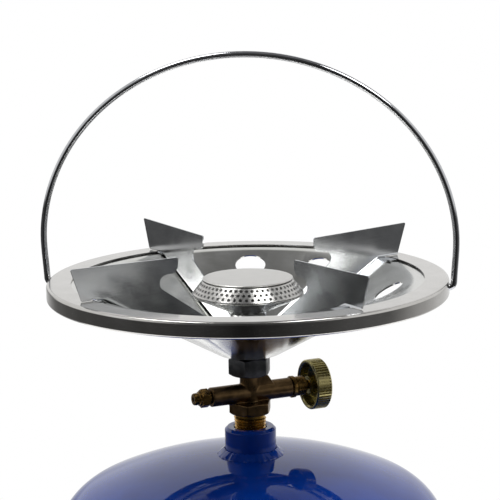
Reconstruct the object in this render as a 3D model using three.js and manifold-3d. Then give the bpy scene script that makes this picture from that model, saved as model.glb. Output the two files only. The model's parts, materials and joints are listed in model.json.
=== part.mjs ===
// Propane burner stand: a small gas bottle with a valve, and a burner with a wind dish screwed on top.
// Millimetres, +Z up, origin at the middle of the bottle's foot, X along the pivots of the carrying bail.
import * as THREE from 'three';
import { mergeVertices } from 'three/addons/utils/BufferGeometryUtils.js';
import Module from 'manifold-3d';

const wasm = await Module();
wasm.setup();

// ---- Driving dimensions -------------------------------------------------------------------------
const GAP = 0.3; // clearance between neighbouring pieces
const ROUND = 40; // facets round the bottle and the dish

// Gas bottle, heights above the floor
const BOTTLE_RADIUS = 115;
const BOTTLE_TOP = 225;
const BOTTLE_WALL = 2.3;
const CROWN_RADIUS = 230;
const KNUCKLE_RADIUS = 36;
const LOWER_HEAD_CLEARANCE = 18; // from the floor to the lowest point of the lower head
const GIRTH_Z = 121;
const FOOT_RADIUS = 90;
const FOOT_LIP = 6;
const BOSS_RADIUS = 14.9;
const BOSS_HEIGHT = 15.5;

// Dish and burner, heights from the rim's top plane
const RIM_Z = BOTTLE_TOP + 103.8;
const RIM_RADIUS = 115;
const RIM_SKIRT = 9.3;
const RIM_INNER = 101;
const SHEET = 1.0;
const THIN_SHEET = 0.8;
const FLANGE_Z = -1.3;
const BOWL_EDGE = 93.5;
const SEAT_RADIUS = 17;
const SEAT_Z = -43.9;
const VENT_RADIUS = 9.2;
const VENT_CIRCLE = 80.5;
const VENT_AZIMUTHS = [6.8, 66.8]; // each repeated every quarter turn
const DIMPLE_AZIMUTH = 6.5;
const CUP_RADIUS = 32.3;
const CAP_RADIUS = 25.9;
const TUBE_RADIUS = 9.5;
const SPIGOT_RADIUS = 7.8;
const NUT_FLATS = 22;
const NUT_TOP = -46.5;
const NUT_BOTTOM = -57;
const NUT_TURN = 27; // degrees, as it was left by the spanner
const NUT_SHOULDER = NUT_BOTTOM + 5.4; // the step inside the nut that the mixer tube stands on
const COLLAR_Z = [-39.9, -37.8]; // the mixer tube's collar, which clamps the supports to the bowl
const COLLAR_RADIUS = 12.4;
const PORT_ROWS = [0.25, 0.5, 0.75]; // how far up the flame band each row of ports is
const PORTS_PER_ROW = 16;

// Pan supports
const SUPPORT_AZIMUTH = 41.7;
const HUB_HEIGHTS = [-42.3, -41]; // one support's plate lies on the other's
const SUPPORT_OUTER = 114.8;
const SUPPORT_TOP = 19;
const BEND_RADIUS = 2;
const FOLD_RISE = 2.4; // from the toe up to where the wing is upright
const TOE_WIDTH = 9.1; // how far the folded foot reaches sideways
const SLOT_RANGE = [-12, 7]; // across the support, the bent side is negative

// Carrying bail
const WIRE_RADIUS = 1.85;
const PIVOT_Z = -4.6;
const BAIL_HALF_WIDTH = 118.9;
const BAIL_SHOULDER_Z = 20;
const BAIL_APEX_Z = 127.6;

// Valve: its own X runs along the barrel towards the knob
const VALVE_AZIMUTH = 31.5;
const BARREL_Z = -68;
const BARREL_RADIUS = 5.65;
const BARREL_ENDS = [-24.8, 25.6];
const STEM_RADIUS = 5.7;
const STEM_TOP = -53.3;
const BLOCK_FLATS = 22.6;
const BLOCK_Z = [-80, -73];
const THREAD_RADIUS = 9.55;
const THREAD_TAPER = 0.06; // loss of radius per millimetre of length
const THREAD_LENGTH = 25;
const KNOB_RADIUS = 14.7;
const KNOB_X = [37, 46.5];
const KNURLS = 52;
const CHAMBER_RADIUS = 4.2;
const SEAT_X = -0.5; // the face that the pad closes on

// ---- Colours ------------------------------------------------------------------------------------
const finish = (color, roughness, metalness) => new THREE.MeshStandardMaterial({ color, roughness, metalness });
const blueEnamel = finish(0x06206e, 0.12, 0.0);
const polishedSteel = finish(0xb9bcc0, 0.16, 1.0);
const satinSteel = finish(0xb4b4b6, 0.4, 1.0);
const chromedWire = finish(0x9b9c9f, 0.12, 1.0);
const darkSteel = finish(0x4a4c50, 0.35, 1.0);
const agedBrass = finish(0x6b5232, 0.3, 1.0);
const brightBrass = finish(0xb58a3c, 0.28, 1.0);
const knobAlloy = finish(0x8f8250, 0.34, 1.0);
const rubber = finish(0x17181a, 0.8, 0.0);
const fibre = finish(0xb9b4a6, 0.8, 0.0);

// ---- Geometry helpers ---------------------------------------------------------------------------
const radians = THREE.MathUtils.degToRad;
const v2 = (x, y) => new THREE.Vector2(x, y);
const v3 = (x, y, z) => new THREE.Vector3(x, y, z);

// A closed outline in (radius, height) is turned about Z. It runs anticlockwise.
function turned(outline, segments = 32) {
  const closed = outline[0][0] === 0 ? outline : [...outline, outline[0]];
  return new THREE.LatheGeometry(closed.map(([r, z]) => v2(r, z)), segments).rotateX(Math.PI / 2);
}

// A ring or tube of rectangular section about Z.
function sleeve(inner, outer, bottom, top, segments = 32) {
  return turned([[inner, bottom], [outer, bottom], [outer, top], [inner, top]], segments);
}

// A round bar about Z, or a cone when the two radii differ.
function bar(radius, bottom, top, segments = 24, topRadius = radius) {
  const shape = new THREE.CylinderGeometry(topRadius, radius, top - bottom, segments);
  return shape.rotateX(Math.PI / 2).translate(0, 0, (bottom + top) / 2);
}

// A hexagonal bar about Z with a flat facing +Y.
const hexBar = (flats, bottom, top) => bar(flats / Math.sqrt(3), bottom, top, 6).rotateZ(Math.PI / 6);

// Lays a piece made about Z along the valve barrel.
const alongBarrel = (shape) => shape.rotateY(Math.PI / 2).translate(0, 0, BARREL_Z);

function block([x0, x1], [y0, y1], [z0, z1]) {
  const shape = new THREE.BoxGeometry(x1 - x0, y1 - y0, z1 - z0);
  return shape.translate((x0 + x1) / 2, (y0 + y1) / 2, (z0 + z1) / 2);
}

// Moves each point of an open path to its left by the distance given, with mitred corners.
function offsetPath(path, distance) {
  return path.map(([x, y], i) => {
    const before = path[Math.max(i - 1, 0)];
    const after = path[Math.min(i + 1, path.length - 1)];
    const into = v2(x - before[0], y - before[1]).normalize();
    const out = v2(after[0] - x, after[1] - y).normalize();
    const first = i === 0 ? out : into;
    const last = i === path.length - 1 ? into : out;
    const middle = first.clone().add(last).normalize();
    const reach = distance / middle.dot(first);
    return [x - middle.y * reach, y + middle.x * reach];
  });
}

// A sheet of even thickness: the path is its right-hand face.
const sheetOutline = (path, thickness) => [...path, ...offsetPath(path, thickness).reverse()];

function arcPoints([cx, cy], radius, from, to, steps) {
  return Array.from({ length: steps + 1 }, (_, i) => {
    const angle = radians(from + ((to - from) * i) / steps);
    return [cx + radius * Math.cos(angle), cy + radius * Math.sin(angle)];
  });
}

// Joins upright outlines of (y, z), one at each station along X, into one closed body with flat ends.
function loft(stations) {
  const sections = stations.map(({ x, outline }) => {
    const ordered = THREE.ShapeUtils.isClockWise(outline) ? [...outline].reverse() : outline;
    return ordered.map((point) => [x, point.x, point.y]);
  });
  const count = sections[0].length;
  const last = (sections.length - 1) * count;
  const index = [];
  for (let s = 0; s < last; s += count) {
    for (let i = 0; i < count; i += 1) {
      const a = s + i;
      const b = s + ((i + 1) % count);
      index.push(a, b, b + count, a, b + count, a + count);
    }
  }
  const end = sections[0].map(([, y, z]) => v2(y, z));
  for (const [a, b, c] of THREE.ShapeUtils.triangulateShape(end, [])) {
    index.push(c, b, a, last + a, last + b, last + c);
  }
  const shape = new THREE.BufferGeometry();
  shape.setAttribute('position', new THREE.Float32BufferAttribute(sections.flat(2), 3));
  return shape.setIndex(index);
}

// ---- Solid joining and cutting ------------------------------------------------------------------
function solid(shape) {
  const bare = shape.clone();
  bare.deleteAttribute('normal');
  bare.deleteAttribute('uv');
  const merged = mergeVertices(bare, 1e-4);
  const corners = [...merged.index.array];
  const triangles = [];
  for (let i = 0; i < corners.length; i += 3) {
    const [a, b, c] = corners.slice(i, i + 3);
    if (a !== b && b !== c && c !== a) triangles.push(a, b, c);
  }
  const vertProperties = new Float32Array(merged.attributes.position.array);
  return new wasm.Manifold(new wasm.Mesh({ numProp: 3, vertProperties, triVerts: new Uint32Array(triangles) }));
}

function shapeOf(body) {
  const mesh = body.getMesh();
  const shape = new THREE.BufferGeometry();
  shape.setAttribute('position', new THREE.BufferAttribute(new Float32Array(mesh.vertProperties), 3));
  return shape.setIndex(new THREE.BufferAttribute(new Uint32Array(mesh.triVerts), 1));
}

const joined = (...shapes) => shapeOf(shapes.map(solid).reduce((sum, next) => sum.add(next)));
const cut = (shape, ...tools) => shapeOf(tools.map(solid).reduce((rest, tool) => rest.subtract(tool), solid(shape)));
const common = (shape, other) => shapeOf(solid(shape).intersect(solid(other)));

function piece(name, shape, material) {
  const flat = shape.index ? shape.toNonIndexed() : shape;
  flat.computeVertexNormals();
  const mesh = new THREE.Mesh(flat, material);
  mesh.name = name;
  return mesh;
}

const quarterTurns = [0, 90, 180, 270];

// ---- Gas bottle ---------------------------------------------------------------------------------
// Half of a dished head, from a small radius on the crown out to the cylinder, for a head whose
// highest point is at the height given.
function headPath(top, fromRadius) {
  const crownCentre = [0, top - CROWN_RADIUS];
  const knuckleX = BOTTLE_RADIUS - KNUCKLE_RADIUS;
  const meeting = Math.asin(knuckleX / (CROWN_RADIUS - KNUCKLE_RADIUS));
  const knuckleCentre = [knuckleX, crownCentre[1] + (CROWN_RADIUS - KNUCKLE_RADIUS) * Math.cos(meeting)];
  const start = 90 - THREE.MathUtils.radToDeg(Math.asin(fromRadius / CROWN_RADIUS));
  const join = 90 - THREE.MathUtils.radToDeg(meeting);
  const crown = arcPoints(crownCentre, CROWN_RADIUS, start, join, 3);
  const knuckle = arcPoints(knuckleCentre, KNUCKLE_RADIUS, join, 0, 3);
  return [...crown, ...knuckle.slice(1)];
}

const headHeight = (radius) => CROWN_RADIUS - Math.sqrt(CROWN_RADIUS ** 2 - radius ** 2);

function bottleUpperShell() {
  const hole = BOSS_RADIUS - 2.4;
  const outside = [...headPath(BOTTLE_TOP, hole), [BOTTLE_RADIUS, GIRTH_Z + 1.5]];
  return turned(sheetOutline(outside.reverse(), BOTTLE_WALL), ROUND);
}

// The lower shell's top edge is drawn in, so that it slides inside the upper shell.
function bottleLowerShell() {
  const mirrored = headPath(-LOWER_HEAD_CLEARANCE, 0).map(([r, z]) => [r, -z]);
  const joggle = BOTTLE_RADIUS - BOTTLE_WALL - GAP;
  const outside = [...mirrored, [BOTTLE_RADIUS, GIRTH_Z - 3], [joggle, GIRTH_Z], [joggle, GIRTH_Z + 9]];
  const inside = offsetPath(outside, BOTTLE_WALL).reverse();
  inside[inside.length - 1][0] = 0;
  return turned([...outside, ...inside], ROUND);
}

function girthWeld() {
  const root = BOTTLE_RADIUS - BOTTLE_WALL + 0.6;
  return turned([[root, GIRTH_Z - 0.2], [BOTTLE_RADIUS + 1.2, GIRTH_Z - 1.8],
    [BOTTLE_RADIUS + 1.4, GIRTH_Z + 0.6], [root, GIRTH_Z + 1.2]], ROUND);
}

function footRing() {
  const inner = FOOT_RADIUS - BOTTLE_WALL;
  const top = (radius) => LOWER_HEAD_CLEARANCE + headHeight(radius) - GAP;
  const ring = turned([[FOOT_RADIUS - FOOT_LIP, 0], [FOOT_RADIUS, 0], [FOOT_RADIUS, top(FOOT_RADIUS)],
    [inner, top(inner)], [inner, BOTTLE_WALL], [FOOT_RADIUS - FOOT_LIP, BOTTLE_WALL]], ROUND);
  const vent = (angle) => bar(7, 80, 100, 12).rotateY(Math.PI / 2).translate(0, 0, 20).rotateZ(radians(angle));
  return cut(ring, ...[60, 180, 300].map(vent));
}

function footWeld() {
  const under = (radius) => LOWER_HEAD_CLEARANCE + headHeight(radius) - GAP;
  const inner = FOOT_RADIUS + GAP;
  return turned([[inner, under(inner) - 3.4], [inner + 3.2, under(inner + 3.2)], [inner, under(inner)]], ROUND);
}

function neckBoss() {
  const bottom = BOTTLE_TOP + GAP;
  const top = bottom + BOSS_HEIGHT;
  const spigot = BOSS_RADIUS - 2.7;
  const depth = bottom - 4;
  const bore = (z) => THREAD_RADIUS + GAP - (RIM_Z + BLOCK_Z[0] - z) * THREAD_TAPER;
  return turned([[bore(depth), depth], [spigot, depth], [spigot, bottom], [BOSS_RADIUS, bottom],
    [BOSS_RADIUS, top - 1.6], [BOSS_RADIUS - 1.6, top], [bore(top), top]], 24);
}

function neckWeld() {
  const onHead = (radius) => BOTTLE_TOP - headHeight(radius) + GAP;
  const inner = BOSS_RADIUS + GAP;
  return turned([[inner, onHead(inner)], [19.6, onHead(19.6)], [18.4, onHead(18.4) + 1.9],
    [inner, onHead(inner) + 3.6]], 24);
}

function gasBottle() {
  const group = new THREE.Group();
  group.add(piece('bottle_upper_shell', bottleUpperShell(), blueEnamel));
  group.add(piece('bottle_lower_shell', bottleLowerShell(), blueEnamel));
  group.add(piece('bottle_girth_weld', girthWeld(), blueEnamel));
  group.add(piece('bottle_foot_ring', footRing(), blueEnamel));
  group.add(piece('bottle_foot_weld', footWeld(), blueEnamel));
  group.add(piece('bottle_neck_boss', neckBoss(), blueEnamel));
  group.add(piece('bottle_neck_weld', neckWeld(), blueEnamel));
  return group;
}

// ---- Dish ---------------------------------------------------------------------------------------
const bowlSlope = (FLANGE_Z - 0.9 - SEAT_Z) / (BOWL_EDGE - 1 - SEAT_RADIUS);
const bowlTop = (radius) => Math.min(SEAT_Z + Math.max(radius - SEAT_RADIUS, 0) * bowlSlope, FLANGE_Z);

// A cutting block across a pan support's end, where its tab passes through the bowl's flange.
const tabSlot = (angle) => block([98, 100.9], SLOT_RANGE, [-6, 4]).rotateZ(radians(angle));

function bowl() {
  const outer = RIM_RADIUS - SHEET - 0.7;
  const top = [[outer, FLANGE_Z], [BOWL_EDGE + 1.8, FLANGE_Z], [BOWL_EDGE - 1, FLANGE_Z - 0.9],
    [SEAT_RADIUS, SEAT_Z], [SPIGOT_RADIUS + 0.4, SEAT_Z]];
  const shell = turned(sheetOutline(top, THIN_SHEET), ROUND);
  const lean = Math.atan(bowlSlope);
  const vent = (angle) => bar(VENT_RADIUS, -9, 9, 12).rotateY(-lean)
    .translate(VENT_CIRCLE, 0, bowlTop(VENT_CIRCLE)).rotateZ(radians(angle));
  const vents = quarterTurns.flatMap((turn) => VENT_AZIMUTHS.map((angle) => vent(angle + turn)));
  const slots = quarterTurns.map((turn) => tabSlot(SUPPORT_AZIMUTH + turn));
  return cut(shell, ...vents, ...slots);
}

function rimRing() {
  const bottom = -RIM_SKIRT;
  const outside = [[RIM_RADIUS - 2.6, bottom], [RIM_RADIUS - 0.9, bottom], [RIM_RADIUS, bottom + 1],
    [RIM_RADIUS, -1.6], [RIM_RADIUS - 0.45, -0.45], [RIM_RADIUS - 1.6, 0], [RIM_INNER, 0]];
  const ring = turned(sheetOutline(outside, SHEET), ROUND);
  const bailHoles = bar(WIRE_RADIUS + 0.4, -120, 120, 12).rotateY(Math.PI / 2).translate(0, 0, PIVOT_Z);
  const dimple = (angle, side) => bar(0.9, -0.5, 2, 6, 1.9).translate(105, side * 4.4, 0).rotateZ(radians(angle));
  const dimples = quarterTurns.flatMap((turn) => [-1, 1].map((side) => dimple(DIMPLE_AZIMUTH + turn, side)));
  return cut(ring, bailHoles, ...dimples);
}

// The section of a wing's strip across its length: upright, then folded aside into a foot that ends
// at its toe. The angle of the fold is the one whose arc and straight end there.
function foldedSection(toeZ) {
  const foldZ = toeZ + FOLD_RISE;
  const aside = TOE_WIDTH - BEND_RADIUS;
  const angle = Math.atan2(aside, FOLD_RISE) + Math.asin(BEND_RADIUS / Math.hypot(aside, FOLD_RISE));
  const bend = arcPoints([-BEND_RADIUS, foldZ], BEND_RADIUS, 0, -THREE.MathUtils.radToDeg(angle), 4);
  const middle = [[0, 26], ...bend, [-TOE_WIDTH, toeZ]];
  const face = offsetPath(middle, THIN_SHEET / 2);
  const back = offsetPath(middle, -THIN_SHEET / 2);
  return [...face, ...back.reverse()].map(([y, z]) => v2(y, z));
}

// One wing of a pan support in the plane through X and Z: the bent strip is trimmed by its side view.
function supportWing(hubZ) {
  const onBowl = (x) => bowlTop(Math.hypot(x, TOE_WIDTH + 1)) + 0.5;
  const onBowlStations = [24, 58, BOWL_EDGE - 1, BOWL_EDGE + 2, SUPPORT_OUTER + 1]
    .map((x) => ({ x, outline: foldedSection(onBowl(x)) }));
  const stations = [{ x: 12, outline: foldedSection(hubZ) }, ...onBowlStations];
  const nose = arcPoints([51.4, 13.2], 4.6, 180, 270, 4);
  const notch = arcPoints([54.4, 4], 4.6, 90, -45, 5);
  const side = [[SUPPORT_OUTER, SUPPORT_TOP], [46.8, 17.4], ...nose, ...notch, [30, -18.4], [13.4, -29.4],
    [13.4, -50], [97.7, -50], [97.7, GAP], [108.5, GAP]];
  const trim = new THREE.Shape(side.map(([x, z]) => v2(x, z)));
  const trimmer = new THREE.ExtrudeGeometry(trim, { depth: 40, bevelEnabled: false });
  return common(loft(stations), trimmer.rotateX(Math.PI / 2).translate(0, 20, 0));
}

// The foot of a wing lies on the bowl's flange; its tab goes down through the slot and hooks under.
function supportFoot() {
  const width = [-11, 0.4];
  const hook = FLANGE_Z - THIN_SHEET - 0.5;
  const foot = block([BOWL_EDGE + 1, 99.8], width, [FLANGE_Z + GAP, FLANGE_Z + GAP + THIN_SHEET]);
  const tab = block([99, 99.8], width, [hook - THIN_SHEET, FLANGE_Z + GAP + THIN_SHEET]);
  const toe = block([99, 105], width, [hook - THIN_SHEET, hook]);
  return joined(foot, tab, toe);
}

function panSupport(hubZ) {
  const plate = block([-16, 16], [-9.4, 9.4], [hubZ - 0.2, hubZ + THIN_SHEET]);
  const hole = bar(SPIGOT_RADIUS + 0.4, hubZ - 5, hubZ + 5);
  const wing = joined(supportWing(hubZ), supportFoot());
  return cut(joined(wing, wing.clone().rotateZ(Math.PI), plate), hole);
}

// ---- Burner -------------------------------------------------------------------------------------
function mixerTube() {
  const bottom = NUT_SHOULDER + 0.1;
  const [collarBottom, collarTop] = COLLAR_Z;
  const top = -18;
  const tube = turned([[5, bottom], [SPIGOT_RADIUS, bottom], [SPIGOT_RADIUS, collarBottom],
    [COLLAR_RADIUS, collarBottom], [COLLAR_RADIUS, collarTop], [TUBE_RADIUS, collarTop], [TUBE_RADIUS, top],
    [TUBE_RADIUS - 1.4, top], [TUBE_RADIUS - 1.4, collarTop], [5, collarBottom]], 20);
  const airHole = (angle) => bar(3.2, 4, 14, 8).rotateY(Math.PI / 2).translate(0, 0, -33).rotateZ(radians(angle));
  return cut(tube, ...quarterTurns.map(airHole));
}

function burnerCup() {
  const neck = TUBE_RADIUS + GAP;
  const outside = [[neck + THIN_SHEET, -24], [neck + THIN_SHEET, -20], [CUP_RADIUS - 3, -11.2],
    [CUP_RADIUS, -9.6], [CUP_RADIUS, -8.9]];
  return turned(sheetOutline(outside, THIN_SHEET), 32);
}

// The flame band: a coned strip with three staggered rows of ports, turned in at the top.
function flameBand() {
  const foot = [CUP_RADIUS - 0.5, -8.5];
  const shoulder = [CAP_RADIUS, -1.2];
  const strip = turned(sheetOutline([foot, shoulder, [CAP_RADIUS - 4, -1.2]], 0.7), 32);
  const lean = Math.atan2(foot[0] - shoulder[0], shoulder[1] - foot[1]);
  const port = (row, turn) => bar(0.9, -3, 3, 4).rotateY(Math.PI / 2 - lean)
    .translate(foot[0] + (shoulder[0] - foot[0]) * row, 0, foot[1] + (shoulder[1] - foot[1]) * row)
    .rotateZ(radians(turn));
  const ports = PORT_ROWS.flatMap((row, r) => Array.from({ length: PORTS_PER_ROW },
    (_, i) => port(row, ((i + (r % 2) / 2) * 360) / PORTS_PER_ROW)));
  return cut(strip, ...ports);
}

function burnerNut() {
  const outside = hexBar(NUT_FLATS, NUT_BOTTOM, NUT_TOP).rotateZ(radians(NUT_TURN));
  const lower = bar(STEM_RADIUS + GAP, NUT_BOTTOM - 1, NUT_TOP, 24);
  const upper = bar(SPIGOT_RADIUS + GAP, NUT_SHOULDER - 0.2, NUT_TOP + 1, 24);
  return cut(outside, lower, upper);
}

// A thin washer with one ear that is bent over a flat of the nut.
function tabWasher() {
  const ear = block([8, 14.6], [-3.5, 3.5], [NUT_TOP + GAP, NUT_TOP + GAP + 0.8]).rotateZ(radians(8));
  const ring = bar(10.6, NUT_TOP + GAP, NUT_TOP + GAP + 0.8, 24);
  return cut(joined(ring, ear), bar(SPIGOT_RADIUS + GAP, NUT_TOP - 1, NUT_TOP + 3, 24));
}

function gasJet() {
  const head = joined(hexBar(6, STEM_TOP + GAP, STEM_TOP + 2.8), bar(2.2, STEM_TOP - 3.5, STEM_TOP + 2, 12));
  return cut(head, bar(0.5, STEM_TOP - 5, STEM_TOP + 5, 8));
}

function dishAndBurner() {
  const group = new THREE.Group();
  group.position.z = RIM_Z;
  group.add(piece('burner_bowl', bowl(), polishedSteel));
  group.add(piece('rim_ring', rimRing(), satinSteel));
  HUB_HEIGHTS.forEach((hubZ, i) => {
    const support = piece(`pan_support_${'ab'[i]}`, panSupport(hubZ), polishedSteel);
    support.rotation.z = radians(SUPPORT_AZIMUTH - 90 * i);
    group.add(support);
  });
  group.add(piece('mixer_tube', mixerTube(), darkSteel));
  group.add(piece('burner_cup', burnerCup(), polishedSteel));
  group.add(piece('flame_band', flameBand(), polishedSteel));
  group.add(piece('burner_cap', bar(CAP_RADIUS, -0.9, 0.1, 40), satinSteel));
  group.add(piece('burner_nut', burnerNut(), darkSteel));
  group.add(piece('tab_washer', tabWasher(), darkSteel));
  group.add(piece('gas_jet', gasJet(), brightBrass));
  group.add(piece('outlet_gasket', sleeve(3.8, 5.3, STEM_TOP + GAP, STEM_TOP + 1.3, 20), fibre));
  return group;
}

// ---- Carrying bail ------------------------------------------------------------------------------
// A round wire along a curve.
function wire(path, radius, steps, sides) {
  const section = new THREE.Shape(arcPoints([0, 0], radius, 0, 360, sides).slice(1).map(([x, y]) => v2(x, y)));
  return new THREE.ExtrudeGeometry(section, { extrudePath: path, steps, bevelEnabled: false });
}

// Half an ellipse on two nearly straight legs, each turned in to a pivot in the skirt.
function bail() {
  const corner = 3.4;
  const legX = RIM_RADIUS + WIRE_RADIUS + 0.7;
  const leg = (side) => [[RIM_RADIUS - 3.6, PIVOT_Z], [RIM_RADIUS - 1, PIVOT_Z],
    ...arcPoints([legX - corner, PIVOT_Z + corner], corner, -90, 0, 4)].map(([x, z]) => v3(side * x, 0, z));
  const arch = arcPoints([0, 0], 1, 4, 176, 20)
    .map(([c, s]) => v3(c * BAIL_HALF_WIDTH, 0, BAIL_SHOULDER_Z + s * (BAIL_APEX_Z - BAIL_SHOULDER_Z)));
  const path = new THREE.CatmullRomCurve3([...leg(1), ...arch, ...leg(-1).reverse()], false, 'centripetal');
  return wire(path, WIRE_RADIUS, 80, 6);
}

// ---- Valve --------------------------------------------------------------------------------------
function valveBody() {
  const threadTop = BLOCK_Z[0] + 0.5;
  const threadBottom = BLOCK_Z[0] - THREAD_LENGTH;
  const thread = bar(THREAD_RADIUS - THREAD_LENGTH * THREAD_TAPER, threadBottom, threadTop, 24, THREAD_RADIUS);
  const foot = hexBar(BLOCK_FLATS, ...BLOCK_Z);
  const stem = bar(STEM_RADIUS, BLOCK_Z[1] - 1, STEM_TOP, 24);
  const webSide = new THREE.Shape([v2(0, -58), v2(10.2, -58), v2(13.4, -63), v2(13.4, -66), v2(0, -66)]);
  const web = new THREE.ExtrudeGeometry(webSide, { depth: 8, bevelEnabled: false })
    .rotateX(Math.PI / 2).translate(0, 4, 0);
  const barrel = alongBarrel(bar(BARREL_RADIUS, ...BARREL_ENDS, 24));
  const inlet = bar(2, threadBottom - 1, BARREL_Z + 1.5, 12).translate(-4, 0, 0);
  const outlet = bar(2.5, BARREL_Z + 3.5, STEM_TOP + 1, 12);
  const chamber = alongBarrel(bar(CHAMBER_RADIUS, SEAT_X, BARREL_ENDS[1] + 1, 20));
  const reliefChamber = alongBarrel(bar(4, BARREL_ENDS[0] - 1, -11, 20));
  const orifice = alongBarrel(bar(1.5, -12, 0, 12));
  return cut(joined(thread, foot, stem, web, barrel), inlet, outlet, chamber, reliefChamber, orifice);
}

// A plug with its thread bore open towards the spindle.
const valvePlug = () => alongBarrel(turned([[0, 1.3], [3.8, 1.3], [3.8, 12], [2.2, 12], [2.2, 4.5], [0, 4.5]], 20));

function valveSpindle() {
  const [, knobEnd] = KNOB_X;
  const end = knobEnd - 3;
  return alongBarrel(turned([[0, 7], [1.9, 7], [1.9, 14.6], [3.7, 14.6], [3.7, 17], [2.6, 17], [2.6, end],
    [1.4, end], [1.4, end - 6], [0, end - 6]], 20));
}

// The nut that closes the barrel, its hollow end holding the packing round the spindle.
function glandNut() {
  const flange = BARREL_ENDS[1] + GAP;
  return alongBarrel(turned([[2.9, 17.4], [3.9, 17.4], [3.9, flange], [6.4, flange], [6.4, flange + 2.2],
    [5.7, flange + 2.4], [5.7, 34.5], [4.6, 34.5], [4.6, 30], [2.9, 30]], 24));
}

// A deep knurled ring, a web near the outer end and a hub on the spindle.
function valveKnob() {
  const [inner, outer] = KNOB_X;
  const rim = Array.from({ length: 2 * KNURLS }, (_, i) => {
    const angle = (Math.PI * i) / KNURLS;
    const radius = i % 2 ? KNOB_RADIUS - 0.9 : KNOB_RADIUS;
    return v2(radius * Math.cos(angle), radius * Math.sin(angle));
  });
  const ribbed = new THREE.ExtrudeGeometry(new THREE.Shape(rim), { depth: outer - inner, bevelEnabled: false });
  const hollow = cut(bar(KNOB_RADIUS - 2.1, inner - 1, outer - 3.4, 32), bar(5.2, inner, outer, 20));
  const shaft = bar(2.9, inner - 1, outer - 2.7, 20);
  const screwHole = bar(1.4, inner, outer + 1, 12);
  const screwSeat = bar(4.2, outer - 1.9, outer + 1, 20);
  return alongBarrel(cut(ribbed.translate(0, 0, inner), hollow, shaft, screwHole, screwSeat));
}

function knobScrew() {
  const seat = KNOB_X[1] - 1.9 + GAP;
  const screw = joined(bar(1.1, seat - 5.5, seat + 0.5, 12), bar(3.6, seat, seat + 1.8, 20));
  return alongBarrel(cut(screw, block([-4, 4], [-0.5, 0.5], [seat + 0.9, seat + 3])));
}

// A light piston that the relief spring holds on its seat, with a pin that guides the spring.
const reliefPiston = () => alongBarrel(turned([[0, -19], [1.2, -19], [1.2, -14.2], [3.6, -14.2], [3.6, -12.4],
  [0, -12.4]], 16));

class Helix extends THREE.Curve {
  constructor(radius, start, length, turns) {
    super();
    Object.assign(this, { radius, start, length, turns });
  }

  getPoint(t) {
    const angle = 2 * Math.PI * this.turns * t;
    return v3(this.radius * Math.cos(angle), this.radius * Math.sin(angle), this.start + this.length * t);
  }
}

const reliefSpring = () => alongBarrel(wire(new Helix(2.6, -21.3, 6.4, 5), 0.4, 45, 5));

// A hexagon plug with a vent through it, which sets the relief spring.
function reliefPlug() {
  const [barrelEnd] = BARREL_ENDS;
  const spigot = bar(3.7, barrelEnd - 2, -22, 20);
  const hexagon = hexBar(9.8, barrelEnd - 6.3, barrelEnd - 1.5);
  const nose = bar(3.4, barrelEnd - 10.6, barrelEnd - 6, 20, 4.3);
  return alongBarrel(cut(joined(spigot, hexagon, nose), bar(1.4, -40, -20, 12)));
}

function valve() {
  const group = new THREE.Group();
  group.position.z = RIM_Z;
  group.rotation.z = radians(VALVE_AZIMUTH);
  group.add(piece('valve_body', valveBody(), agedBrass));
  group.add(piece('valve_plug', valvePlug(), brightBrass));
  group.add(piece('valve_plug_pad', alongBarrel(bar(2.8, SEAT_X + GAP, 1, 16)), rubber));
  group.add(piece('valve_spindle', valveSpindle(), brightBrass));
  group.add(piece('spindle_packing', alongBarrel(sleeve(2.9, 4.3, 30.3, 33.6, 20)), fibre));
  group.add(piece('gland_nut', glandNut(), agedBrass));
  group.add(piece('valve_knob', valveKnob(), knobAlloy));
  group.add(piece('knob_screw', knobScrew(), darkSteel));
  group.add(piece('relief_seal', alongBarrel(bar(2.8, -12.1, -11.3, 16)), rubber));
  group.add(piece('relief_piston', reliefPiston(), brightBrass));
  group.add(piece('relief_spring', reliefSpring(), polishedSteel));
  group.add(piece('relief_plug', reliefPlug(), agedBrass));
  return group;
}

// ---- The whole stand ----------------------------------------------------------------------------
const stand = new THREE.Group();
const bailMesh = piece('carrying_bail', bail(), chromedWire);
bailMesh.position.z = RIM_Z;
stand.add(gasBottle(), valve(), dishAndBurner(), bailMesh);
export default stand;
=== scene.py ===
# %% [markdown]
# # A propane burner stand
# The stand is a squat gas bottle with a valve screwed into its neck. On the valve stands a burner in a
# wide steel dish, with four bent wings for the pan and a wire bail to carry it all.
# The measured frame is opened first. Every piece below is made at its real size, in metres, straight in
# its place, so nothing has to be fitted afterwards.

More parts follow.
